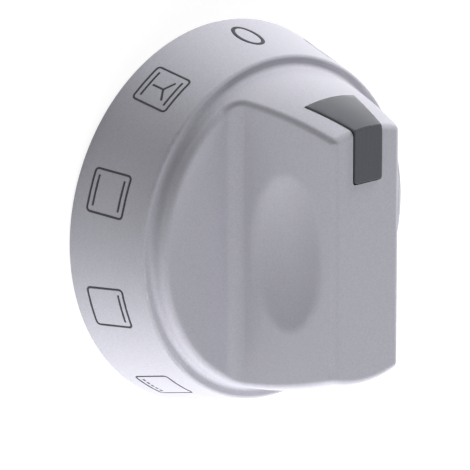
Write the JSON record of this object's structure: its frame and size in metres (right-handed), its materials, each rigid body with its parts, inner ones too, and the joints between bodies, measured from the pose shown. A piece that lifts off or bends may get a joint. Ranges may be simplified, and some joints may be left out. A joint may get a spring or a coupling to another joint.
{
  "type": "oven selector knob",
  "caption": "Tapered round oven selector knob with a tall grip bar across its disc, finger scoops, an inset pointer and a hollow back with a socket for a flatted shaft.",
  "frame": {"origin": "centre of the skirt's back rim, in the rim's plane", "axes": "+Z along the switch shaft towards the user, +Y towards the pointer's end of the grip, +X to the right when the knob is looked at from the front"},
  "size_m": [0.0538, 0.0538, 0.03],
  "materials": {
    "silver_paint": "moulded ABS with satin silver metallic paint",
    "dark_pointer": "dark grey moulded plastic, semi-gloss",
    "black_nylon": "black moulded nylon, matt",
    "zinc_screw": "bright zinc-plated steel",
    "band_steel": "rolled steel strip",
    "spring_steel": "hardened spring steel",
    "symbol_print": "dark grey pad-printed ink"
  },
  "bodies": {
    "root": {"knob_cap": "silver_paint", "pointer_insert": "dark_pointer", "shaft_hub": "black_nylon", "hub_screws": "zinc_screw", "hub_band": "band_steel", "shaft_spring": "spring_steel"}
  },
  "joints": []
}
